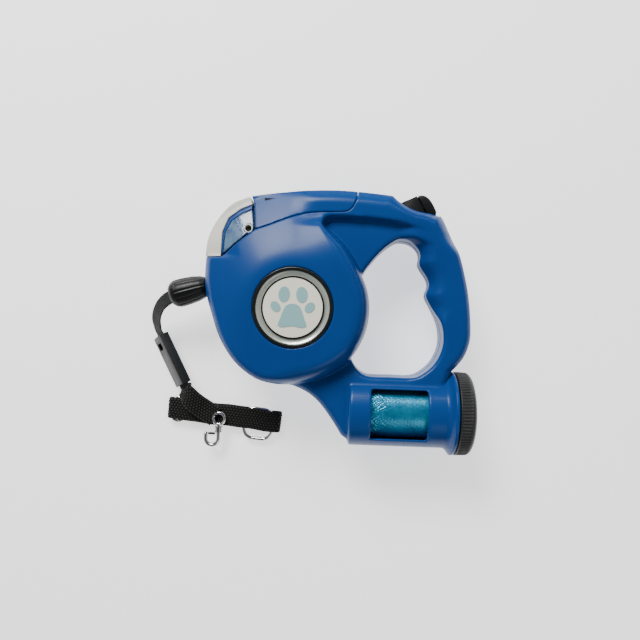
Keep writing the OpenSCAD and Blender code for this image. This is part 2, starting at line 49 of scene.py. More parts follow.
# ------------------------------------------------------------------ camera
cam_data = bpy.data.cameras.new("camera")
camera = bpy.data.objects.new("camera", cam_data)
bpy.context.scene.collection.objects.link(camera)
camera.location = (0.0346, -0.0129, 0.378)
camera.rotation_euler = (0, 0, math.radians(2))
cam_data.sensor_width = 36
cam_data.lens = 28.95
cam_data.shift_x = -27 / PHOTO_PX
cam_data.shift_y = 10 / PHOTO_PX
cam_data.clip_start = 0.01
bpy.context.scene.camera = camera


# ------------------------------------------------------------------ small helpers
def add_mesh(name, verts, faces, smooth=None):
    """A mesh object from points in millimetres. smooth is the angle that stays smooth, or None for all."""
    mesh = bpy.data.meshes.new(name)
    points = [tuple(v) for v in np.asarray(verts, float) * MM]
    mesh.from_pydata(points, [], [tuple(map(int, f)) for f in faces])
    mesh.validate()
    mesh.update()
    obj = bpy.data.objects.new(name, mesh)
    bpy.context.scene.collection.objects.link(obj)
    shade(obj, smooth)
    return obj


def add_quads(name, verts, quads):
    """As add_mesh, for large arrays of quads."""
    mesh = bpy.data.meshes.new(name)
    mesh.vertices.add(len(verts))
    mesh.vertices.foreach_set("co", (np.asarray(verts, np.float32) * MM).ravel())
    mesh.loops.add(quads.size)
    mesh.loops.foreach_set("vertex_index", np.ascontiguousarray(quads, np.int32).ravel())
    mesh.polygons.add(len(quads))
    mesh.polygons.foreach_set("loop_start", np.arange(0, quads.size, 4, dtype=np.int32))
    mesh.polygons.foreach_set("loop_total", np.full(len(quads), 4, np.int32))
    mesh.update(calc_edges=True)
    mesh.validate()
    obj = bpy.data.objects.new(name, mesh)
    bpy.context.scene.collection.objects.link(obj)
    shade(obj, None)
    return obj


def shade(obj, angle):
    mesh = obj.data
    mesh.polygons.foreach_set("use_smooth", np.ones(len(mesh.polygons), bool))
    if angle is not None:
        mesh.set_sharp_from_angle(angle=math.radians(angle))
    mesh.update()


def apply_modifiers(obj):
    bpy.context.view_layer.update()
    graph = bpy.context.evaluated_depsgraph_get()
    mesh = bpy.data.meshes.new_from_object(obj.evaluated_get(graph))
    obj.modifiers.clear()
    obj.data = mesh
    return obj


def softened(node, width, segments=3, angle=40):
    """A copy of a CAD node with its sharp edges rounded, which stands for it."""
    source = frame["nodes"][node]
    obj = bpy.data.objects.new(node + "_soft", source.data.copy())
    bpy.context.scene.collection.objects.link(obj)
    weld = obj.modifiers.new("weld", "WELD")
    weld.merge_threshold = 2e-6
    flat = obj.modifiers.new("flat", "DECIMATE")
    flat.decimate_type = "DISSOLVE"
    flat.angle_limit = math.radians(1.5)
    bevel = obj.modifiers.new("bevel", "BEVEL")
    bevel.width = width * MM
    bevel.segments = segments
    bevel.limit_method = "ANGLE"
    bevel.angle_limit = math.radians(angle)
    bevel.use_clamp_overlap = True
    tri = obj.modifiers.new("tri", "TRIANGULATE")
    tri.keep_custom_normals = False
    apply_modifiers(obj)
    shade(obj, 35)
    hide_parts(node)
    return obj


def place(obj, body, material):
    obj.data.materials.clear()
    obj.data.materials.append(material)
    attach(obj, body)
    return obj


def spline(points, steps, closed=False):
    p = np.asarray(points, float)
    n = len(p)
    out = []
    for i in range(n if closed else n - 1):
        a, b, c, d = (p[(i + k) % n] if closed else p[min(max(i + k, 0), n - 1)] for k in (-1, 0, 1, 2))
        for k in range(steps):
            t = k / steps
            out.append((2 * b + (c - a) * t + (2 * a - 5 * b + 4 * c - d) * t * t
                        + (3 * b - a - 3 * c + d) * t ** 3) / 2)
    return np.array(out)


def lathe(name, profile, segments, wobble=None):
    """A closed solid turned about the tube's axis. profile is a closed loop of (radius, x)."""
    prof = np.asarray(profile, float)
    n = len(prof)
    angles = np.linspace(0, 2 * np.pi, segments, endpoint=False)
    r = np.tile(prof[:, 0], (segments, 1))
    x = np.tile(prof[:, 1], (segments, 1))
    if wobble is not None:
        r = r + wobble(angles[:, None], r, x)
    y = TUBE_Y + r * np.cos(angles)[:, None]
    z = MID + r * np.sin(angles)[:, None]
    verts = np.stack([x, y, z], -1).reshape(-1, 3)
    i, j = np.meshgrid(np.arange(segments), np.arange(n), indexing="ij")
    i2, j2 = (i + 1) % segments, (j + 1) % n
    quads = np.stack([i * n + j, i2 * n + j, i2 * n + j2, i * n + j2], -1).reshape(-1, 4)
    return add_quads(name, verts, quads)


# ------------------------------------------------------------------ materials
def node_material(name):
    mat = bpy.data.materials.new(name)
    mat.use_nodes = True
    tree = mat.node_tree
    return mat, tree, tree.nodes["Principled BSDF"]


def link_noise(tree, scale, detail=4.0, rough=0.55, stretch=None):
    coord = tree.nodes.new("ShaderNodeTexCoord")
    noise = tree.nodes.new("ShaderNodeTexNoise")
    noise.inputs["Scale"].default_value = scale
    noise.inputs["Detail"].default_value = detail
    noise.inputs["Roughness"].default_value = rough
    out = coord.outputs["Object"]
    if stretch:
        mapping = tree.nodes.new("ShaderNodeMapping")
        mapping.inputs["Scale"].default_value = stretch
        tree.links.new(out, mapping.inputs["Vector"])
        out = mapping.outputs["Vector"]
    tree.links.new(out, noise.inputs["Vector"])
    return noise


def ramp(tree, source, stops):
    node = tree.nodes.new("ShaderNodeValToRGB")
    while len(node.color_ramp.elements) < len(stops):
        node.color_ramp.elements.new(0.5)
    for element, (place_at, colour) in zip(node.color_ramp.elements, stops):
        element.position = place_at
        element.color = (*colour, 1)
    tree.links.new(source, node.inputs["Fac"])
    return node.outputs["Color"]


def finish_of(name, low, high, rough=(0.3, 0.4), metallic=0.0, coat=0.0, coat_rough=0.1, blotch=14.0,
              grain=900.0, bump=0.03, sheen=0.0, transmission=0.0, ior=1.46, alpha=1.0, stretch=None,
              specular=0.5):
    """Colour that drifts between low and high, a fine surface grain, and roughness that varies with both."""
    mat, tree, shader = node_material(name)
    broad = link_noise(tree, blotch, 3.0)
    tree.links.new(ramp(tree, broad.outputs["Fac"], [(0.3, low), (0.7, high)]), shader.inputs["Base Color"])
    fine = link_noise(tree, grain, 3.0, 0.6, stretch)
    spread = tree.nodes.new("ShaderNodeMapRange")
    spread.inputs["From Min"].default_value = 0.3
    spread.inputs["From Max"].default_value = 0.7
    spread.inputs["To Min"].default_value = rough[0]
    spread.inputs["To Max"].default_value = rough[1]
    tree.links.new(fine.outputs["Fac"], spread.inputs["Value"])
    tree.links.new(spread.outputs["Result"], shader.inputs["Roughness"])
    relief = tree.nodes.new("ShaderNodeBump")
    relief.inputs["Strength"].default_value = bump
    relief.inputs["Distance"].default_value = 0.0004
    tree.links.new(fine.outputs["Fac"], relief.inputs["Height"])
    tree.links.new(relief.outputs["Normal"], shader.inputs["Normal"])
    shader.inputs["Metallic"].default_value = metallic
    shader.inputs["Coat Weight"].default_value = coat
    shader.inputs["Coat Roughness"].default_value = coat_rough
    shader.inputs["Sheen Weight"].default_value = sheen
    shader.inputs["Transmission Weight"].default_value = transmission
    shader.inputs["IOR"].default_value = ior
    shader.inputs["Alpha"].default_value = alpha
    shader.inputs["Specular IOR Level"].default_value = specular
    return mat


def srgb(r, g, b):
    return tuple(((c / 255 + 0.055) / 1.055) ** 2.4 if c > 10 else c / 255 / 12.92 for c in (r, g, b))


blue = finish_of("blue_abs", srgb(0, 58, 124), srgb(0, 66, 134), (0.27, 0.34), coat=0.04, coat_rough=0.14,
                 blotch=9, grain=1600, bump=0.04, specular=0.22)
# A lighter copy of the casing blue for the torch housing: painted light behind the lens.
lit_blue_inner = finish_of("lit_blue_inner", srgb(30, 84, 150), srgb(60, 118, 178), (0.2, 0.4), blotch=90, grain=700)
black = finish_of("black_plastic", srgb(6, 7, 8), srgb(12, 13, 14), (0.34, 0.46), grain=1400, bump=0.08,
                  specular=0.4)
black_gloss = finish_of("black_gloss", srgb(16, 18, 19), srgb(28, 31, 31), (0.2, 0.3), grain=1200, bump=0.02)
cap_grey = finish_of("cap_grey", srgb(30, 31, 31), srgb(40, 41, 40), (0.4, 0.5), grain=1300, bump=0.1)
joiner_grey = finish_of("joiner_grey", srgb(17, 19, 18), srgb(26, 28, 27), (0.42, 0.55), grain=1500,
                        bump=0.12)
cream = finish_of("cream_print", srgb(246, 242, 222), srgb(250, 247, 232), (0.3, 0.38), coat=0.4, grain=800)
cup = finish_of("cup_silver", srgb(186, 196, 186), srgb(222, 224, 208), (0.2, 0.28), metallic=0.6, blotch=30,
                grain=900)
teal = finish_of("paw_teal", srgb(140, 184, 188), srgb(154, 196, 196), (0.3, 0.4), coat=0.3, grain=800)
frosted = finish_of("frosted", srgb(218, 216, 206), srgb(234, 232, 222), (0.4, 0.55), blotch=60, grain=500,
                    bump=0.25, transmission=0.12)
lens = finish_of("clear_lens", srgb(70, 120, 176), srgb(150, 188, 216), (0.12, 0.26), blotch=120, grain=240,
                 bump=0.12, transmission=0.6, ior=1.45, coat=0.6, coat_rough=0.04)
chrome = finish_of("chrome", srgb(222, 220, 214), srgb(242, 242, 240), (0.04, 0.12), metallic=1.0, blotch=160,
                   grain=600, bump=0.04)
steel = finish_of("steel", srgb(150, 150, 152), srgb(184, 184, 186), (0.28, 0.4), metallic=1.0, blotch=60,
                  grain=1500, bump=0.06, stretch=(1, 1, 8))
spring_steel = finish_of("spring_steel", srgb(70, 78, 96), srgb(104, 110, 124), (0.25, 0.38), metallic=1.0,
                         blotch=70, grain=1500)
brass = finish_of("brass", srgb(176, 138, 70), srgb(206, 170, 98), (0.22, 0.34), metallic=1.0, grain=1200)
white_plastic = finish_of("acetal", srgb(226, 226, 220), srgb(238, 238, 234), (0.38, 0.5), blotch=30,
                          grain=1000)
led = finish_of("led_epoxy", srgb(236, 236, 220), srgb(250, 250, 240), (0.08, 0.15), coat=0.5, grain=500)
board = finish_of("solder_resist", srgb(12, 70, 34), srgb(22, 92, 48), (0.3, 0.45), blotch=300, grain=1100)
dark_screw = finish_of("dark_screw", srgb(20, 20, 22), srgb(40, 40, 42), (0.25, 0.4), metallic=0.7,
                       grain=1500)
jacket = finish_of("cell_jacket", srgb(150, 120, 52), srgb(190, 156, 76), (0.2, 0.32), metallic=0.6,
                   blotch=50, grain=900)
card = finish_of("core_card", srgb(168, 138, 98), srgb(196, 166, 124), (0.75, 0.9), blotch=120, grain=1200,
                 bump=0.4, stretch=(6, 1, 1))
tape_cloth = finish_of("tape_cloth", srgb(8, 9, 10), srgb(18, 19, 20), (0.6, 0.75), blotch=220, grain=2600,
                       bump=0.5, sheen=0.03, specular=0.3)
web_cloth = finish_of("web_cloth", srgb(6, 6, 7), srgb(18, 18, 17), (0.62, 0.8), blotch=520, grain=3000,
                      bump=0.6, sheen=0.04, specular=0.25)
web_tree = web_cloth.node_tree
# Colour follows the weave's relief height: painted shade in the grooves between floats and painted highlight
# on the raised floats.
weave_value = web_tree.nodes.new("ShaderNodeAttribute")
weave_value.attribute_name = "weave"
relief_shade_colour = ramp(web_tree, weave_value.outputs["Fac"],
                    [(0.08, srgb(5, 5, 6)), (0.3, srgb(58, 56, 50))])
web_tree.links.new(relief_shade_colour, web_tree.nodes["Principled BSDF"].inputs["Base Color"])
film = finish_of("bag_film_cyan", srgb(0, 118, 158), srgb(10, 150, 186), (0.24, 0.36), metallic=0.5, coat=0.5,
                 coat_rough=0.16, blotch=120, grain=500, bump=0.2)

BY_SLOT = {"blue_casing": blue, "black_plastic": black, "black_gloss": black_gloss, "dark_cap": cap_grey,
           "cream": cream, "teal_inlay": teal, "frosted": frosted, "clear_lens": lens, "chrome": chrome,
           "steel": steel, "spring_steel": spring_steel, "brass": brass, "white_plastic": white_plastic,
           "led": led, "board": board, "dark_screw": dark_screw, "cell_jacket": jacket, "card": card,
           "film": film, "tape": tape_cloth, "webbing": web_cloth}
for entry in frame["record"]["subparts"]:
    node = frame["nodes"][entry["node"]]
    node.data.materials.clear()
    node.data.materials.append(BY_SLOT[entry["material_slot"]])
    shade(node, 32)


# ------------------------------------------------------------------ straps
def resampled(route, gap):
    """A route as points about gap apart, for a strap's length direction."""
    fine = np.vstack([spline(route, 24), route[-1]])
    length = np.r_[0, np.cumsum(np.linalg.norm(np.diff(fine[:, :3], axis=0), axis=1))]
    count = max(int(length[-1] / gap), 4)
    at = np.linspace(0, length[-1], count + 1)
    return np.stack([np.interp(at, length, fine[:, k]) for k in range(4)], 1), at


def strap(name, centre, across, thick, at, width, depth, relief, closed=False):
    """A strap with a rounded section and a woven relief: relief(along, over, side) in millimetres."""
    n = len(centre)
    over = np.linspace(-1, 1, max(int(width / 0.3), 10))
    m = len(over)
    edge = np.sqrt(np.clip(1 - np.abs(over) ** 8, 0, 1))
    edge[0] = edge[-1] = 0.28
    verts, shown = [], []
    for sign in (1, -1):
        o = over if sign > 0 else over[::-1]
        e = edge if sign > 0 else edge[::-1]
        u, v = np.meshgrid(at, o * width / 2, indexing="ij")
        raised = relief(u, v)
        shown.append(raised)
        lift = (depth / 2 + raised) * e[None, :]
        verts.append(centre[:, None, :] + v[..., None] * across[:, None, :]
                     + sign * lift[..., None] * thick[:, None, :])
    ringed = np.concatenate(verts, 1)
    k = 2 * m
    rows = n if closed else n - 1
    i, j = np.meshgrid(np.arange(rows), np.arange(k), indexing="ij")
    i2, j2 = (i + 1) % n, (j + 1) % k
    quads = np.stack([i * k + j, i * k + j2, i2 * k + j2, i2 * k + j], -1).reshape(-1, 4)
    points = ringed.reshape(-1, 3)
    if not closed:
        ends = []
        for row in (0, n - 1):
            for q in range(m - 1):
                a, b = row * k + q, row * k + q + 1
                c, d = row * k + k - 2 - q, row * k + k - 1 - q
                ends.append([a, d, c, b] if row == 0 else [a, b, c, d])
        quads = np.vstack([quads, np.array(ends)])
    obj = add_quads(name, points, quads)
    obj.data.attributes.new("weave", "FLOAT", "POINT")
    values = np.concatenate(shown, 1).astype(np.float32).ravel()
    obj.data.attributes["weave"].data.foreach_set("value", values)
    return obj


def fine_weave(u, v):
    return 0.05 * np.sin(u * 2 * np.pi / 0.9) * np.sin(v * 2 * np.pi / 0.9)


def coarse_weave(u, v):
    """Rows of raised floats, each row set off from the next by half a float."""
    row = np.floor(v / 1.85 + 100)
    bead = np.abs(np.sin(np.pi * (u / 2.2 + 0.5 * (row % 2) + 0.1 * np.sin(row))))
    rib = np.abs(np.sin(np.pi * (v / 1.85 + 100 - row)))
    return 0.55 * bead ** 0.9 * rib ** 0.8 - 0.2


# ------------------------------------------------------------------ the free lead
LEAD = [[-60.4, 14.33, 28, 90], [-66, 12.6, 28, 96], [-72, 10.7, 27.8, 112], [-78, 8.8, 27.3, 132],
        [-84, 6.7, 26.2, 148], [-89.4, 4.1, 24.6, 152], [-93.9, 0.7, 22.3, 150], [-97.3, -3.7, 19.4, 148],
        [-99.6, -8.6, 15.9, 146], [-100.5, -13.4, 12.4, 142], [-100.4, -17.4, 9.2, 134],
        [-99.1, -21.3, 7.7, 129], [-97.25, -25.2, 7.55, 129], [-95.1, -29.5, 7.6, 129],
        [-92.9, -33.8, 7.6, 129], [-91.4, -36.7, 7.6, 129]]
WEB = [[-81.5, -55.8, 7.6, 129.5], [-80.61, -57.48, 7.75, 130.3], [-79.88, -58.94, 8.28, 137],
       [-79.28, -60.56, 10.2, 148], [-77.18, -62.93, 11.53, 161], [-74.3, -66.18, 11.66, 171.7],
       [-70.6, -69.6, 10.6, 178], [-66.2, -72.9, 9.15, 180], [-61.4, -76, 8.7, 180],
       [-57.6, -78.3, 8.59, 180]]


def route_strap(name, route, gap, width, depth, relief):
    path, at = resampled(route, gap)
    ahead = np.gradient(path[:, :3], axis=0)
    ahead /= np.linalg.norm(ahead, axis=1)[:, None]
    side = np.cross(ahead, [0, 0, 1])
    side /= np.linalg.norm(side, axis=1)[:, None]
    up = np.cross(side, ahead)
    roll = np.radians(path[:, 3])[:, None]
    across = np.cos(roll) * side + np.sin(roll) * up
    thick = np.cos(roll) * up - np.sin(roll) * side
    return strap(name, path[:, :3], across, thick, at, width, depth, relief), path[:, :3], at[-1]


tape, tape_path, tape_length = route_strap("lead_tape_piece", LEAD, 0.4, 11.5, 1.0, fine_weave)
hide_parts("lead_tape")
place(tape, "lead", tape_cloth)
web = route_strap("lead_webbing_piece", WEB, 0.3, 15, 2.2, coarse_weave)[0]
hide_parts("lead_webbing")
place(web, "lead", web_cloth)

# The collar band: one strap folded flat into a loop.
BAND_AT, BAND_TURN = np.array([-52.1, -77.6, 0]), math.radians(-5.5)


def band_point(p):
    c, s = math.cos(BAND_TURN), math.sin(BAND_TURN)
    p = np.asarray(p, float)
    return BAND_AT + np.stack([p[..., 0] * c - p[..., 1] * s, p[..., 0] * s + p[..., 1] * c, p[..., 2]], -1)


band_l, band_h = 83.0, 6.6
bend = band_h / 2 - 0.9
straight = band_l / 2 - bend - 0.9
top = [[x, bend] for x in np.linspace(-straight, straight, 24)]
right = [[straight + bend * math.sin(a), bend * math.cos(a)] for a in np.linspace(0, math.pi, 9)[1:-1]]
low = [[x, -bend] for x in np.linspace(straight, -straight, 24)]
left = [[-straight - bend * math.sin(a), -bend * math.cos(a)] for a in np.linspace(0, math.pi, 9)[1:-1]]
loop = spline(top + right + low + left, 10, closed=True)
length = np.r_[0, np.cumsum(np.linalg.norm(np.diff(np.vstack([loop, loop[:1]]), axis=0), axis=1))]
count = int(round(length[-1] / 1.9)) * 6
at = np.linspace(0, length[-1], count, endpoint=False)
closed_loop = np.vstack([loop, loop[:1]])
lx, lz = (np.interp(at, length, closed_loop[:, k]) for k in (0, 1))
waves = 0.25 * np.sin(lx / 7.0) + 0.15 * np.sin(lx / 3.1 + 1)
tilt = -0.05 * np.clip(-lx - 30, 0, 20) / 12
centre = np.stack([lx, waves, lz + band_h / 2], 1)
tangent = np.roll(centre, -1, axis=0) - np.roll(centre, 1, axis=0)
tangent /= np.linalg.norm(tangent, axis=1)[:, None]
across = np.stack([tilt, np.ones(count), 0 * tilt], 1)
across /= np.linalg.norm(across, axis=1)[:, None]
thick = np.cross(tangent, across)
turned = [band_point(centre), band_point(across) - BAND_AT, band_point(thick) - BAND_AT]
band = strap("collar_band_piece", *turned, at * (round(length[-1] / 1.9) * 1.9 / length[-1]), 15, 1.3,
             coarse_weave, closed=True)
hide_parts("collar_band")
place(band, "lead", web_cloth)


# ------------------------------------------------------------------ distance fields
def smax(a, b, k):
    h = np.clip(0.5 + 0.5 * (a - b) / k, 0, 1)
    return b + (a - b) * h + k * h * (1 - h)


def smin(a, b, k):
    return -smax(-a, -b, k)


def step01(t):
    t = np.clip(t, 0, 1)
    return t * t * (3 - 2 * t)


def polygon_field(points, x, y):
    """Signed distance to a closed outline, negative inside."""
    p = np.asarray(points, float)
    best = np.full(x.shape, 1e9)
    inside = np.zeros(x.shape, bool)
    for a, b in zip(p, np.roll(p, -1, axis=0)):
        e = b - a
        if e @ e < 1e-12:
            continue
        t = np.clip(((x - a[0]) * e[0] + (y - a[1]) * e[1]) / (e @ e), 0, 1)
        best = np.minimum(best, (x - a[0] - t * e[0]) ** 2 + (y - a[1] - t * e[1]) ** 2)
        if a[1] != b[1]:
            crossing = ((a[1] > y) != (b[1] > y)) & (x < (b[0] - a[0]) * (y - a[1]) / (b[1] - a[1]) + a[0])
            inside ^= crossing
    return np.where(inside, -1, 1) * np.sqrt(best)


def surface(name, field, origin, step):
    """The zero level of a field on a grid, as a closed mesh of quads."""
    neg = field < 0
    corners = [(a, b, c) for a in (0, 1) for b in (0, 1) for c in (0, 1)]
    size = [s - 1 for s in field.shape]

    def block(array, a, b, c):
        return array[a:a + size[0], b:b + size[1], c:c + size[2]]

    some = np.zeros(size, bool)
    every = np.ones(size, bool)
    for c in corners:
        some |= block(neg, *c)
        every &= block(neg, *c)
    cells = np.argwhere(some & ~every)
    index = np.full(size, -1, np.int64)
    index[tuple(cells.T)] = np.arange(len(cells))
    total = np.zeros((len(cells), 3))
    number = np.zeros(len(cells))
    for c in corners:
        for axis in range(3):
            if c[axis]:
                continue
            d = list(c)
            d[axis] = 1
            f0 = field[tuple((cells + c).T)]
            f1 = field[tuple((cells + d).T)]
            cut = (f0 < 0) != (f1 < 0)
            t = np.where(cut, f0 / np.where(cut, f0 - f1, 1), 0)
            point = np.tile(np.array(c, float), (len(cells), 1))
            point[:, axis] += t
            total += np.where(cut[:, None], point, 0)
            number += cut
    verts = cells + total / number[:, None]
    quads = []
    for axis in range(3):
        u, v = (axis + 1) % 3, (axis + 2) % 3
        low = [slice(None)] * 3
        high = [slice(None)] * 3
        low[axis], high[axis] = slice(0, -1), slice(1, None)
        for other in (u, v):
            low[other] = high[other] = slice(1, -1)
        a, b = neg[tuple(low)], neg[tuple(high)]
        for flip, mask in ((False, a & ~b), (True, b & ~a)):
            e = np.argwhere(mask)
            e[:, u] += 1
            e[:, v] += 1
            ring = []
            for du, dv in ((-1, -1), (0, -1), (0, 0), (-1, 0)):
                q = e.copy()
                q[:, u] += du
                q[:, v] += dv
                ring.append(index[tuple(q.T)])
            ring = np.stack(ring, 1)
            quads.append(ring[:, ::-1] if flip else ring)
    quads = np.vstack(quads)
    used = np.unique(quads)
    renumber = np.zeros(len(verts), np.int64)
    renumber[used] = np.arange(len(used))
    return add_quads(name, np.array(origin) + verts[used] * step, renumber[quads])


# ------------------------------------------------------------------ casing outlines
NOSE = [[-60, 31], [-58.8, 45], [-53, 57.5], [-43.5, 68], [-32, 73]]
ARM_TOP = [[-32, 73], [-7, 76.8], [19, 78.6], [40, 78.2], [61.5, 76.4]]
SADDLE = [[61.5, 76.4], [66.5, 72.3], [73.5, 68.6], [82, 66.4], [93, 66.5]]
BACK = [[93, 66.5], [96, 64], [100.5, 55], [106.5, 41.8], [111.6, 25], [114.8, 9], [116.4, -8],
        [116, -18.7], [112, -29.3], [104, -38.8]]
UNDER = [[33, -82.5], [26.6, -72.8], [18.6, -62.4], [10.4, -55.5], [0, -50.8], [-10, -49.3], [-23.2, -45.4],
         [-36.7, -35.6], [-47.1, -21.1], [-53.6, -5.4], [-57.3, 5], [-59.7, 17], [-60, 31]]
BODY = np.vstack([spline(NOSE, 4), spline(ARM_TOP, 4), spline(SADDLE, 4), spline(BACK, 4),
                  [[104, -38.8], [101, -50], [101, -80], [42, -80], [38, -86]], spline(UNDER, 4)])
HOLE = spline([[38, -29], [38.5, -10], [39.5, 10], [43, 23.5], [54.2, 38.8], [64, 47], [69.3, 48.5],
               [75.1, 47.2], [80.2, 42.5], [81.7, 38.1], [81.4, 31.9], [87.1, 23.2], [88.1, 17.9],
               [86.4, 11.7], [90.4, 3.8], [96.1, -5.8], [98.1, -15.4], [97.1, -24.3], [92.6, -33.4],
               [85.7, -39.8], [78.7, -42.8], [64, -42.9], [50.3, -42.9], [43.9, -40.1], [39.4, -34.8]],
              3, closed=True)
SEAM = spline([[38.8, 76], [37, 69.5], [34, 65.2], [29.3, 63.6], [9.6, 62.5], [-3.4, 59], [-16.3, 53.6],
               [-26.9, 49.7]], 3)
COVER_ROOM = np.vstack([[[-31.3, 82], [39, 82]], SEAM, [[-26.9, 49.7], [-29.2, 67.6], [-31.3, 73]]])
FRONT_ROOM = np.vstack([[[-66, 31.6], [-66, 82], [39, 82]], SEAM,
                        [[-26.9, 49.7], [-35.1, 43.2], [-48.3, 31.6]]])
TORCH = np.array([[-48.3, 33.2], [-48.5, 48], [-45.2, 57.3], [-38, 63.2], [-30, 66.8], [-27.7, 50.6],
                  [-35.2, 44.2]])
RIM = [[-48.3, 33.2], [-48.5, 48], [-45.2, 57.3], [-38, 63.2], [-30, 66.8], [-30, 63.7], [-36.6, 60.8],
       [-43.2, 55.7], [-46.9, 47.5], [-47.4, 33.9]]
GLASS = [[-47.4, 33.9], [-46.9, 47.5], [-43.2, 55.7], [-36.6, 60.8], [-30, 63.7], [-27.7, 50.6],
         [-35.2, 44.2]]
STRIP = np.vstack([spline([[-60.05, 31.9], [-58.8, 45], [-53, 57.5], [-43.5, 68], [-32.2, 72.9]], 4),
                   [[-32.2, 72.9], [-30.1, 67.3], [-38, 63.8], [-45.6, 57.9], [-49, 48.2], [-48.8, 31.9]]])
# The raised face: reel housing, shoulder and arm. Its right and lower edge is the crease to the web.
FACE = np.vstack([[[-90, -90], [-90, 100], [120, 100], [120, 49.5]],
                  spline([[110, 48.6], [95.9, 50.1], [68.8, 56.7], [40.5, 59.5], [24, 59.7], [19.8, 59.1],
                          [17.9, 57], [18.7, 53.3], [30.1, 43.1], [37.6, 33.2], [43.1, 23], [47.3, 12.5],
                          [48.9, 0], [47.2, -13], [43.2, -23], [38.6, -31.1], [28.4, -39.3], [17.1, -44.7],
                          [5.5, -47.8], [-4, -50.3], [-14, -54], [-24, -60]], 4)])
TORCH_SCREW = (-31.2, 50.4)
BUTTON_ROOM = [[66.4, 82], [66.4, 70], [69.4, 65.2], [79, 61], [88, 59], [93.6, 62], [94.2, 69], [94, 82]]
SCREWS = [[-54.3, 25.4], [25.5, -53.5], [55, 68], [92.5, 54], [107, -8], [98.5, -35.5]]
STEP = 0.6


def height(x, y):
    """Half thickness of the casing's face over the parting plane."""
    r = np.hypot(x, y)
    angle = np.degrees(np.arctan2(y, x)) % 360
    open_side = step01((angle - 46) / 44) * (1 - step01((angle - 175) / 75))
    beyond = np.clip(r - 27, 0, None)
    base = 28 - 0.42 * (np.sqrt(beyond ** 2 + 144) - 12) * open_side
    arm = np.maximum(step01((x + 8) / 22) * step01((y - 52) / 11),
                     step01((x - 30) / 14) * step01((y - 38) / 8))
    base = base + (17 - 2 * step01((x - 60) / 28) - base) * arm
    inward = np.clip(-polygon_field(FACE, x, y), 0, None)
    width = 3.2 + 8.3 * step01((57 - y) / 26)
    fall = np.clip(1 - (1 - np.clip(inward / width, 0, 1)) ** 2.3, 0, 1) ** (1 / 2.3)
    grip = step01((x - 66) / 14)
    plate = 11.6 + 2.4 * np.maximum(grip, step01((-36 - y) / 12)) + 0.9 * grip * step01((y - 20) / 25)
    raised = plate - 1.2 + (base - plate + 1.2) * fall
    face = np.where(inward > 0, raised, 0)
    return np.maximum(face, plate)


def edge_fall(distance, width, drop):
    return drop * np.clip(1 - distance / width, 0, 1) ** 2.3


def grid(lo, hi, step):
    axes = [np.arange(a, b + step, step) for a, b in zip(lo, hi)]
    return axes, [a[0] for a in axes]


def plan(xs, ys):
    """Fields that depend on x and y alone."""
    x, y = np.meshgrid(xs, ys, indexing="ij")
    body = polygon_field(BODY, x, y)
    hole = np.maximum(polygon_field(HOLE, x, y), 48.9 - np.hypot(x, y))
    top = height(x, y)
    low_left = step01((10 - y) / 20) * step01((30 - x) / 30)
    inside = np.clip(-body, 0, None)
    # A steep band with a crease along the top edge of the arm and round the torch, a rounded edge elsewhere.
    banded = step01((y - 30) / 4) * step01((74 - x) / 20)
    nose = step01((-30 - x) / 20)
    lifted = 1.4 * step01((-8 - x) / 10)
    crease = smin(top, 12.2 + lifted + (4.8 - lifted) / (6.7 + 4.6 * nose) * inside, 2.0 + 2.4 * nose)
    shoulder = step01((x - 82) / 12) * step01((y - 38) / 12)
    rounded = top - edge_fall(inside, 7 - low_left + 4 * shoulder, 4.6 + 5.5 * shoulder)
    top = rounded + (crease - rounded) * banded
    bumps = step01((x - 66) / 12) * step01((52 - y) / 8) * step01((y + 8) / 14)
    top = top - edge_fall(np.clip(hole, 0, None), 2.6 + 9 * bumps, 1.6 + 6.4 * bumps)
    for _ in range(2):
        top[1:-1] = (top[:-2] + 2 * top[1:-1] + top[2:]) / 4
        top[:, 1:-1] = (top[:, :-2] + 2 * top[:, 1:-1] + top[:, 2:]) / 4
    reach = int(round(2 / (xs[1] - xs[0])))
    wide = np.pad(top, reach, mode="edge")
    under = np.min([wide[a:a + len(xs), b:b + len(ys)] for a in (0, reach, 2 * reach)
                    for b in (0, reach, 2 * reach)], axis=0) - 2.2
    return {"x": x, "y": y, "body": body, "hole": hole, "top": top, "under": under,
            "shape": np.maximum(body, -hole)}


def skin(p, z):
    """Outside of the whole casing and its inner room, for heights z over the parting plane."""
    z3 = np.abs(z)[None, None, :]
    outside = smax(p["shape"][..., None], z3 - p["top"][..., None], 1.0)
    inside = np.maximum(np.maximum(p["body"] + 2.2, 2.4 - p["hole"])[..., None],
                        z3 - p["under"][..., None])
    return outside, inside


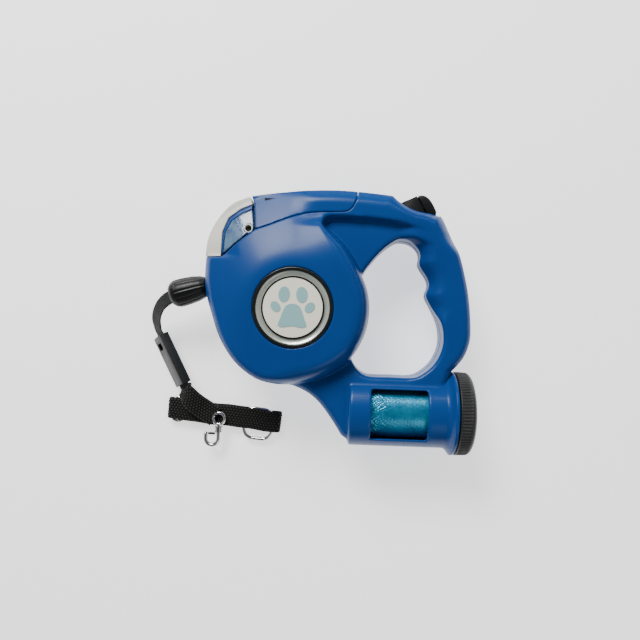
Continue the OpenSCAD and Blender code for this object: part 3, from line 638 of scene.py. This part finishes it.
def half_casing(name, window, boss_r):
    (xs, ys, zs), origin = grid((-63, -98, -1.2), (119, 81, 30), STEP)
    p = plan(xs, ys)
    outside, inside = skin(p, zs)
    x, y, z = p["x"][..., None], p["y"][..., None], zs[None, None, :]
    q = np.hypot(y - TUBE_Y, z)
    tube_r = np.interp(xs, [37.5, 101, 103, 104.6, 105.6, 120],
                       [23.4, 23.5, 24.6, 26.6, 28, 28])[:, None, None]
    tube = smax(smax(q - tube_r, 37.5 - x, 2.2), x - 107.7, 1.0)
    outside = smin(outside, tube, 1.6)
    field = np.maximum(outside, -inside)
    boss = np.min([np.hypot(p["x"] - sx, p["y"] - sy) for sx, sy in SCREWS], axis=0)[..., None] - boss_r
    field = np.minimum(field, np.maximum(boss, outside))
    axle = np.maximum(np.hypot(x, y) - 6, 10.5 - z)
    field = np.minimum(field, np.maximum(axle, outside))
    cuts = [np.maximum(q - 20.9, 40.5 - x),
            polygon_field(FRONT_ROOM, p["x"], p["y"])[..., None] + 0 * z,
            np.maximum(np.hypot(x, y) - 25.6, 25 - z) + 0 * z,
            np.maximum(np.hypot(x, y) - 3.05, 9.5 - z) + 0 * z,
            np.maximum(polygon_field(BUTTON_ROOM, p["x"], p["y"])[..., None], z - 7.6)]
    turn = math.radians(197.5)
    along = p["x"] * math.cos(turn) + p["y"] * math.sin(turn)
    over = -p["x"] * math.sin(turn) + p["y"] * math.cos(turn) + 31.83
    cuts.append(np.maximum(np.maximum(46.5 - along, np.abs(over) - 3.4)[..., None], z - 9.3))
    if window:
        cuts.append(smax(smax(np.abs(x - 70.25) - 18.25, np.abs(y - TUBE_Y) - 16, 1.6), 10 - z, 0.1))
    for number, cut in enumerate(cuts):
        field = smax(field, -cut, 1.4 if number == 6 else 0.7)
    for sx, sy in SCREWS:
        rr = np.hypot(p["x"] - sx, p["y"] - sy)[..., None]
        if window:
            field = smax(field, -np.maximum(rr - 1.25, z - 10), 0.2)
        else:
            field = smax(field, 1.7 - rr + 0 * z, 0.2)
            field = smax(field, -np.maximum(rr - 3.1, 8 - z), 0.5)
    field = smax(field, -z + 0 * field, 0.5)
    obj = surface(name, field.astype(np.float32), origin, STEP)
    co = np.zeros(len(obj.data.vertices) * 3, np.float32)
    obj.data.vertices.foreach_get("co", co)
    co = co.reshape(-1, 3)
    if not window:
        co[:, 2] *= -1
        obj.data.flip_normals()
    co[:, 2] += MID * MM
    obj.data.vertices.foreach_set("co", co.ravel())
    obj.data.update()
    return obj


front = half_casing("front_casing_piece", True, 3.5)
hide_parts("front_casing")
place(front, "casing", blue)
rear = half_casing("rear_casing_piece", False, 4.4)
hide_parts("rear_casing")
place(rear, "casing", blue)


def region_piece(name, outline, lo, hi, step, hollow, gap_in=0.15, z_from=None, extra=None, lower=0.0):
    """The part of the casing's skin over one outline, as its own closed piece."""
    (xs, ys, zs), origin = grid(lo, hi, step)
    p = plan(xs, ys)
    if lower:
        p["top"] = p["top"] - lower
        p["shape"] = p["shape"] + lower
    outside, inside = skin(p, zs)
    area = polygon_field(outline, p["x"], p["y"])[..., None] + gap_in
    field = smax(outside, area, 0.5)
    if hollow:
        field = np.maximum(field, -inside)
    if z_from is not None:
        field = smax(field, (z_from(p))[..., None] - zs[None, None], 0.3)
    if extra is not None:
        field = extra(field, p, zs)
    return surface(name, field.astype(np.float32), [origin[0], origin[1], origin[2] + MID], step)


def switch_hole(field, p, zs):
    return smax(field, 2.7 - np.hypot((p["x"] + 25.2)[..., None], zs[None, None]), 0.4)


cover = region_piece("battery_cover_piece", COVER_ROOM, (-34, 46, -21), (41, 81, 21), STEP * 0.9, True,
                     0.22, extra=switch_hole)
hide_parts("battery_cover")
place(cover, "cover", blue)
strip = region_piece("torch_strip_piece", STRIP, (-63, 29, -20), (-27, 76, 20), 0.5, False, 0.05)
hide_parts("torch_diffuser")
place(strip, "casing", frosted)


def lens_hole(field, p, zs):
    around = np.hypot(p["x"] - TORCH_SCREW[0], p["y"] - TORCH_SCREW[1])[..., None]
    return smax(field, 3.0 - around + 0 * zs, 0.3)


window_front = region_piece("torch_window_piece", GLASS, (-51, 31, 6), (-25, 69, 21), 0.4, False, 0.1,
                            z_from=lambda p: p["top"] - 2.0, extra=lens_hole)
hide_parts("torch_window_front")
place(window_front, "casing", lens)
rim = region_piece("torch_rim_piece", RIM, (-51, 31, 6), (-25, 69, 21), 0.4, False, 0.05,
                   z_from=lambda p: p["top"] - 3.4)
place(rim, "casing", blue)


def torch_bowl(field, p, zs):
    turn = math.radians(150)
    dx, dy = p["x"] + 33, p["y"] - 49.4
    out = dx * math.cos(turn) + dy * math.sin(turn)
    over = -dx * math.sin(turn) + dy * math.cos(turn)
    reach = 4.6 + 1.65 * np.sqrt(np.clip(out, 0, None))
    z = zs[None, None]
    rho = np.hypot(over[..., None], np.minimum(z, 0)) - reach[..., None]
    field = smax(field, -np.maximum(rho, -0.2 - out[..., None]), 0.5)
    pillar = np.hypot(p["x"] - TORCH_SCREW[0], p["y"] - TORCH_SCREW[1])[..., None] - 2.6
    return np.minimum(field, np.maximum(np.maximum(pillar, z - 11.6), 6.5 - z) + 0 * field)


housing = region_piece("torch_housing_piece", TORCH, (-51, 31, -16), (-25, 69, 16), 0.5, False, 0.2,
                       extra=torch_bowl, lower=2.6)
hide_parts("torch_housing")
# The housing takes the lighter blue: painted light behind the lens.
place(housing, "casing", lit_blue_inner)

# ------------------------------------------------------------------ bag cap, roll and stopper
def cap_wobble(angle, r, x):
    ribs = np.clip(np.cos(angle * 84) * 1.4, -1, 1)
    on_side = (r > 25.5) * step01((x - 108.9) / 0.6) * step01((116.6 - x) / 2)
    return 0.32 * ribs * on_side - 0.32 * on_side


outer = [[25.4, 108.3], [27.4, 108.3], [27.9, 108.7]]
outer += [[28 - 0.25 * k / 10, 109 + 6 * k / 10] for k in range(11)]
outer += [[27.75 - 6.2 * (1 - math.cos(a)), 115.4 + 4.0 * math.sin(a)] for a in np.linspace(0.1, 1.5, 10)]
outer += [[19, 120.1], [14, 120.6], [8, 120.9], [3, 121], [0.05, 121]]
inner_side = [[0.05, 118.4], [3.05, 118.4], [3.05, 111.4], [6, 111.4], [6, 118.2], [17, 117.4], [22, 115.4],
              [24.6, 113.4], [25.4, 112.4]]
cap = lathe("bag_cap_piece", (outer + inner_side)[::-1], 84 * 8, cap_wobble)
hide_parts("bag_cap")
place(cap, "cap", cap_grey)


def film_wobble(angle, r, x):
    rng = np.random.default_rng(7)
    creased = 0.12 + 0.88 * step01((67 - x) / 13)
    out = np.zeros_like(r)
    for _ in range(26):
        along = rng.uniform(0.5, 1.7) * rng.choice([-1, 1])
        around = rng.integers(9, 36)
        out += np.abs(np.sin(along * x + around * angle + rng.uniform(0, 6.28))) * rng.uniform(0.3, 1)
    out = (out - out.mean()) * 0.13 * creased
    turns = 0.014 * np.sin(x * 2.9) + 0.01 * np.sin(x * 4.7 + 1)
    return np.where(r > 16, out + turns - 0.3, 0)


roll = [[7.6, 44.5], [12, 44.3], [16.6, 44.5], [17.3, 45]]
roll += [[17.5, x] for x in np.arange(45.6, 96.4, 0.4)]
roll += [[17.3, 96.9], [16.6, 97.3], [12, 97.4], [7.6, 97.3]]
bags = lathe("bag_film_piece", roll[::-1], 320, film_wobble)
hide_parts("bag_film")
place(bags, "bag_roll", film)

turn = math.radians(197.5)
LINE_X = np.array([math.cos(turn), math.sin(turn), 0])
LINE_Y = np.array([-math.sin(turn), math.cos(turn), 0])
LINE_0 = -31.83 * LINE_Y + np.array([0, 0, MID])


def stopper_mesh():
    s = np.concatenate([np.linspace(0, 18, 28), np.linspace(18.6, 26.1, 18)])
    base = np.interp(s, [0, 1, 4, 9, 15, 19, 22, 24.3, 26.1],
                     [4.8, 6.1, 7.5, 8.7, 9.3, 9.45, 9.3, 8.3, 6.6])
    angles = np.linspace(0, 2 * np.pi, 144, endpoint=False)
    groove = 0.42 * np.clip(1 - np.abs(np.sin(angles * 6)) * 1.5, 0, 1) ** 1.4
    fade = step01(s / 3) * step01((24 - s) / 4)
    rad = base[:, None] - fade[:, None] * groove[None, :]
    ring_y, ring_z = rad * np.cos(angles), rad * np.sin(angles)
    pts = LINE_0 + (53.3 + s)[:, None, None] * LINE_X + ring_y[..., None] * LINE_Y \
        + ring_z[..., None] * np.array([0, 0, 1])
    n, k = len(s), len(angles)
    verts = list(pts.reshape(-1, 3))
    i, j = np.meshgrid(np.arange(n - 1), np.arange(k), indexing="ij")
    faces = np.stack([i * k + j, (i + 1) * k + j, (i + 1) * k + (j + 1) % k, i * k + (j + 1) % k], -1)
    faces = [list(f)[::-1] for f in faces.reshape(-1, 4)]
    for row, side in ((0, 1), (n - 1, -1)):
        verts.append(LINE_0 + (53.3 + s[row]) * LINE_X)
        hub = len(verts) - 1
        faces += [[hub, row * k + j, row * k + (j + 1) % k][::side] for j in range(k)]
    return add_mesh("tape_stopper_piece", verts, faces, 50)


stopper = stopper_mesh()
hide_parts("tape_stopper")
place(stopper, "lead", black)

# ------------------------------------------------------------------ CAD pieces with rounded edges
for name, width, body, slot_name, material in [
        ("joiner_box", 0.5, "lead", "dark_cap", joiner_grey),
        ("joiner_tongue", 0.6, "lead", "webbing", web_cloth),
        ("brake_button", 0.9, "brake", "black_plastic", black),
        ("lock_button", 1.3, "lock", "black_plastic", black),
        ("medallion_ring", 0.5, "casing", "black_gloss", black_gloss),
        ("medallion_cup", 0.15, "casing", "cream", cup),
        ("rear_badge_ring", 0.4, "casing", "black_gloss", black_gloss),
        ("torch_switch", 0.5, "torch_button", "black_plastic", black)]:
    place(softened(name, width), body, material)

# ------------------------------------------------------------------ the screw of the torch window
def turned(name, profile, at, segments=48):
    """A closed solid turned about a vertical axis. profile is a closed loop of (radius, z)."""
    prof = np.asarray(profile, float)
    angles = np.linspace(0, 2 * np.pi, segments, endpoint=False)
    r, z = np.tile(prof[:, 0], (segments, 1)), np.tile(prof[:, 1], (segments, 1))
    verts = np.stack([at[0] + r * np.cos(angles)[:, None], at[1] + r * np.sin(angles)[:, None], MID + z], -1)
    n = len(prof)
    i, j = np.meshgrid(np.arange(segments), np.arange(n), indexing="ij")
    i2, j2 = (i + 1) % segments, (j + 1) % n
    return add_quads(name, verts.reshape(-1, 3),
                     np.stack([i * n + j, i2 * n + j, i2 * n + j2, i * n + j2], -1).reshape(-1, 4))


screw_z = float(plan(np.linspace(-34, -28.4, 15), np.linspace(47.6, 53.2, 15))["top"][7, 7])
screw = turned("torch_screw_piece", [[0.05, 7], [1.2, 7.1], [1.2, screw_z - 1.4], [1.9, screw_z - 1.3],
                                     [1.9, screw_z - 0.5], [1.6, screw_z - 0.2], [0.9, screw_z - 0.25],
                                     [0.8, screw_z - 0.8], [0.05, screw_z - 0.8]], TORCH_SCREW)
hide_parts("torch_screw")
place(screw, "casing", dark_screw)
# The white ring round the screw is a painted highlight: it stands for the bright arcs on the boss rim.
seat = turned("torch_screw_seat", [[2.1, screw_z - 2], [2.85, screw_z - 2], [2.9, screw_z - 0.1],
                                   [2.6, screw_z + 0.2], [2.25, screw_z + 0.15], [2.1, screw_z - 0.3]],
              TORCH_SCREW)
place(seat, "casing", white_plastic)

# ------------------------------------------------------------------ floor and light
floor = add_mesh("floor", [[-2500, -2500, -0.4], [2500, -2500, -0.4], [2500, 2500, -0.4],
                           [-2500, 2500, -0.4]], [[0, 1, 2, 3]])
floor_white = finish_of("floor_white", (0.9, 0.9, 0.9), (0.93, 0.93, 0.93), (0.7, 0.8), blotch=2)
floor_shader = floor_white.node_tree.nodes["Principled BSDF"]
floor_shader.inputs["Emission Color"].default_value = (1, 1, 1, 1)
floor_shader.inputs["Emission Strength"].default_value = 1.15
floor.data.materials.append(floor_white)


def area_light(name, at, aim, size, power):
    data = bpy.data.lights.new(name, "AREA")
    data.shape = "RECTANGLE"
    data.size, data.size_y = size
    data.energy = power
    obj = bpy.data.objects.new(name, data)
    bpy.context.scene.collection.objects.link(obj)
    obj.location = at
    obj.rotation_euler = (Vector(aim) - Vector(at)).to_track_quat("-Z", "Y").to_euler()


area_light("main", (-0.38, 0.92, 0.86), (0, 0, 0), (0.6, 0.5), 21)
area_light("strip", (0.2, 0.98, 0.76), (0.02, 0, 0), (0.8, 0.07), 2)
area_light("low", (0.5, -0.75, 0.8), (0, 0, 0), (0.6, 0.6), 1.5)
world = bpy.data.worlds.new("studio")
bpy.context.scene.world = world
world.use_nodes = True
sky = world.node_tree
sky_coord = sky.nodes.new("ShaderNodeTexCoord")
sky_parts = sky.nodes.new("ShaderNodeSeparateXYZ")
sky.links.new(sky_coord.outputs["Generated"], sky_parts.inputs["Vector"])
sky_colour = ramp(sky, sky_parts.outputs["Z"], [(0.0, (0.10, 0.10, 0.11)), (0.3, (0.16, 0.16, 0.17)),
                                               (0.55, (0.5, 0.5, 0.5)), (0.75, (0.34, 0.35, 0.36)),
                                               (0.95, (0.06, 0.06, 0.07))])
sky.links.new(sky_colour, sky.nodes["Background"].inputs["Color"])
sky.nodes["Background"].inputs["Strength"].default_value = 1.0
